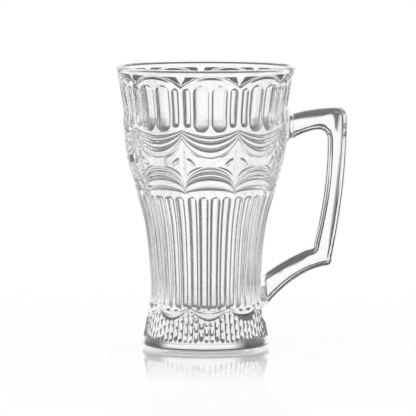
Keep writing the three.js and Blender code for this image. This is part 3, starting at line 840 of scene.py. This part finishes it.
outline = [(UPPER_ROOT, UPPER_TOP[0][1])]
outline += along(UPPER_TOP, ARM_STEPS) + along(UPPER_CORNER, CORNER_STEPS) + along(GRIP_OUTSIDE, GRIP_STEPS)
outline += along(LOWER_CORNER, CORNER_STEPS) + along(LOWER_UNDER, ARM_STEPS)
outline += [LOWER_UNDER[2], (LOWER_ROOT, LOWER_UNDER[2][1]), (LOWER_ROOT, LOWER_TOP[0][1])]
outline += along(LOWER_TOP, ARM_STEPS) + along(LOWER_BEND, CORNER_STEPS) + along(GRIP_INSIDE, GRIP_STEPS)
outline += along(UPPER_BEND, CORNER_STEPS) + along(UPPER_UNDER, ARM_STEPS)
outline += [UPPER_UNDER[2], (UPPER_ROOT, UPPER_UNDER[2][1])]
print(len(outline), "points on the handle's outline")

# %% [markdown]
# The outline is filled and extruded to a slab. Both flat sides are then inset several times with a depth, and
# each inset leaves one slope of the long edges: three that round them off, as the fire did, then a low bevel,
# and a steep little step up to the flat side with a softened rim. The bevel operator would give one kind of
# edge, but the photograph shows two thin lines along each edge with a bright band between them.

# %% Bar of the handle
HANDLE_THICKNESS = 11.0
ROUNDING = ((0.08, 0.4), (0.2, 0.3), (0.3, 0.2))  # steps inward and outward from the rim of the bar
BEVEL, STEP, FIRE_ROUNDING = (1.25, 0.26), (0.55, 0.75), (0.1, 0.05)

bar = bmesh.new()
edge_profile = (*ROUNDING, BEVEL, STEP, FIRE_ROUNDING)
slab = HANDLE_THICKNESS - 2 * sum(outward for inward, outward in edge_profile)
points = [bar.verts.new(Vector((x, -slab / 2, height)) * MM) for x, height in outline]
side = bar.faces.new(points)
extruded = bmesh.ops.extrude_face_region(bar, geom=[side])["geom"]
moved = [part for part in extruded if isinstance(part, bmesh.types.BMVert)]
bmesh.ops.translate(bar, verts=moved, vec=(0, slab * MM, 0))
bmesh.ops.recalc_face_normals(bar, faces=bar.faces)
sides = [face for face in bar.faces if len(face.verts) > 4]
for inward, outward in edge_profile:
    bmesh.ops.inset_region(
        bar, faces=sides, thickness=inward * MM, depth=outward * MM, use_even_offset=True, use_boundary=True,
    )
handle_bar = finish_piece("handle_bar", bar, "handle")
describe(handle_bar)

# %% [markdown]
# In the real mug the glass of the handle runs on into the wall without a surface between them. Two separate
# pieces with a gap would shine there like a crack, because light can't leave glass at a slant. So each piece
# reaches a few tenths of a millimetre into the next one, with both surfaces parallel, and light crosses them
# straight. A turned core with the wall's own curve cuts the ends of the handle to that shape.

# %% Ends of the handle
SEAT = 2.2  # the bar ends this far off the wall, inside the beads
CORE_COLUMNS, CORE_RINGS, CORE_MARGIN = 180, 60, 10.0
HANDLE_SHARP = math.radians(28)


def turned_core(offset):
    """A solid with the wall's own curve, grown by an offset, to cut the handle with."""
    shape = bmesh.new()
    low, high = -CORE_MARGIN, LIP + CORE_MARGIN
    heights = [low + (high - low) * i / CORE_RINGS for i in range(CORE_RINGS + 1)]
    points = [(0, low)] + [(wall_radius(height) + offset, height) for height in heights] + [(0, high)]
    spin(shape, [shape.verts.new(placed(radius, 0, height)) for radius, height in points], CORE_COLUMNS)
    bmesh.ops.recalc_face_normals(shape, faces=shape.faces)
    mesh = bpy.data.meshes.new("core")
    shape.to_mesh(mesh)
    shape.free()
    core = bpy.data.objects.new("core", mesh)
    scene.collection.objects.link(core)
    return core


core = turned_core(SEAT)
seat_cut = handle_bar.modifiers.new("seat", "BOOLEAN")
seat_cut.operation = "DIFFERENCE"
seat_cut.solver = "EXACT"
seat_cut.object = core
shaped = bpy.data.meshes.new_from_object(handle_bar.evaluated_get(bpy.context.evaluated_depsgraph_get()))
handle_bar.modifiers.clear()
handle_bar.data = shaped
shaped.name = "handle_bar"
bpy.data.objects.remove(core)
shaped.set_sharp_from_angle(angle=HANDLE_SHARP)
describe(handle_bar)

# %% [markdown]
# Where an arm meets the wall, the soft glass drew into a small fillet, which shows as a bead at the top of the
# upper arm and as a web above the lower one. Each is a cube with its faces divided, whose points are pushed to
# a rounded pad that follows the wall on its inner side, spreads along it, and closes in on the arm.

# %% Beads
BEAD_CUTS = 15
BEAD_SINK, BEAD_REACH = 0.35, 2.6  # from inside the wall to just past the end of the bar
BEAD_ROUNDNESS, BEAD_CLOSING = 0.5, 0.15
BEAD_SHARP = math.radians(50)
EDGE_SAMPLES = 100


def edge_height(curve, x):
    """Height of an arm's edge at a distance from the axis."""
    samples = [bend(curve, i / EDGE_SAMPLES) for i in range(EDGE_SAMPLES + 1)]
    return min(samples, key=lambda point: abs(point[0] - x))[1]


def bead(name, node, under, top, flare_below, flare_above, flare_aside):
    """A pad of glass round the root of an arm. Each flare is how far it spreads along the wall."""
    shape = bmesh.new()
    bmesh.ops.create_cube(shape, size=2)
    bmesh.ops.subdivide_edges(shape, edges=shape.edges, cuts=BEAD_CUTS, use_grid_fill=True)
    wall = top[0][0]
    for point in shape.verts:
        across, up, out = point.co
        offset = -BEAD_SINK + (out + 1) / 2 * (BEAD_SINK + BEAD_REACH)
        low, high = edge_height(under, wall + offset), edge_height(top, wall + offset)
        near = min(max(1 - offset / SEAT, -BEAD_CLOSING), 1)
        flare = 1 - math.sqrt(1 - near * near) if near > 0 else near
        across, up = (
            across * math.sqrt(1 - BEAD_ROUNDNESS * up * up / 2),
            up * math.sqrt(1 - BEAD_ROUNDNESS * across * across / 2),
        )
        reach = (high - low) / 2 + flare * (flare_above if up > 0 else flare_below)
        height = (low + high) / 2 + up * reach
        aside = across * (HANDLE_THICKNESS / 2 + flare * flare_aside)
        radius = wall_radius(height) + offset
        point.co = Vector((math.sqrt(radius * radius - aside * aside), aside, height)) * MM
    piece = finish_piece(name, shape, node)
    piece.data.set_sharp_from_angle(angle=BEAD_SHARP)
    describe(piece)


bead(
    "upper_bead", "upper_handle_bead", UPPER_UNDER, UPPER_TOP,
    flare_below=2.2, flare_above=2.6, flare_aside=0.8,
)
bead(
    "lower_bead", "lower_handle_bead", LOWER_UNDER, LOWER_TOP,
    flare_below=0.4, flare_above=2.4, flare_aside=0.6,
)

# %% [markdown]
# The visual model keeps the CAD model's size, and its box is printed in millimetres.

# %% Box of the visual model
low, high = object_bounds()
print("Visual box, mm:", [round(x / MM, 1) for x in (*low, *high)])
